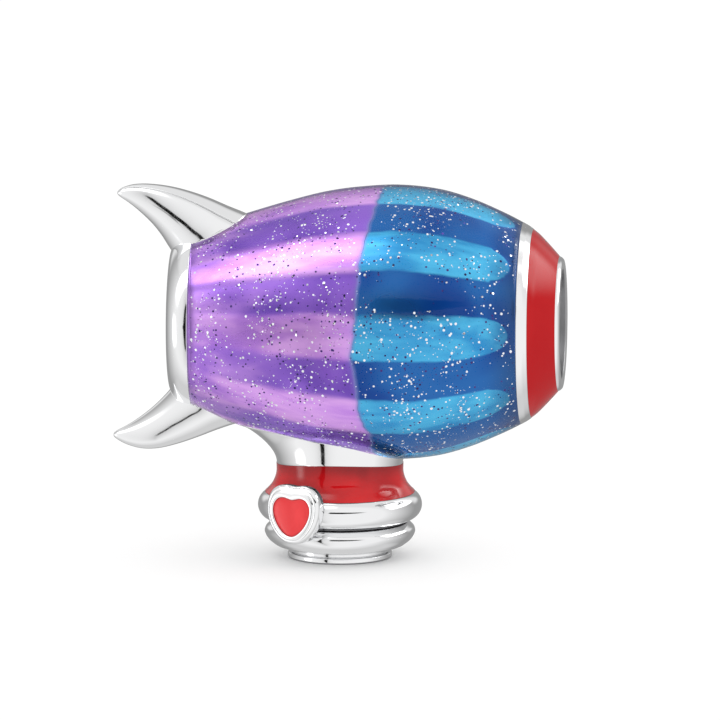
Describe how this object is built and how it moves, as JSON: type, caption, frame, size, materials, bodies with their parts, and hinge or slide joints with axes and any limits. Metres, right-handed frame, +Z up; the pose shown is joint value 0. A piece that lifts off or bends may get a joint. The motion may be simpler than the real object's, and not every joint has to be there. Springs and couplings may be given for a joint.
{
  "type": "airship bracelet bead",
  "caption": "Silver bracelet bead shaped as a small airship, with a glitter enamel barrel, curved tail fins and a round gondola that it stands on.",
  "frame": {"origin": "middle of the underside of the foot under the gondola", "axes": "+X along the envelope towards its nose, +Z up; the heart badge is on the -Y side"},
  "size_m": [0.0187, 0.0114, 0.0157],
  "materials": {
    "silver": "polished",
    "purple_enamel": "gloss with glitter",
    "blue_enamel": "gloss with glitter",
    "red_enamel": "gloss"
  },
  "bodies": {
    "root": {"envelope_core": "silver", "envelope_rear": "purple_enamel", "envelope_front": "blue_enamel", "nose_ring": "silver", "nose_band": "red_enamel", "nose_rim": "silver", "tail_ring": "silver", "tail_fin_upper": "silver", "tail_fin_lower": "silver", "gondola_neck": "silver", "gondola_core": "silver", "gondola_wall": "red_enamel", "gondola_upper_ring": "silver", "gondola_lower_ring": "silver", "foot_ring": "silver", "heart_frame": "silver", "heart_enamel": "red_enamel"}
  },
  "joints": []
}
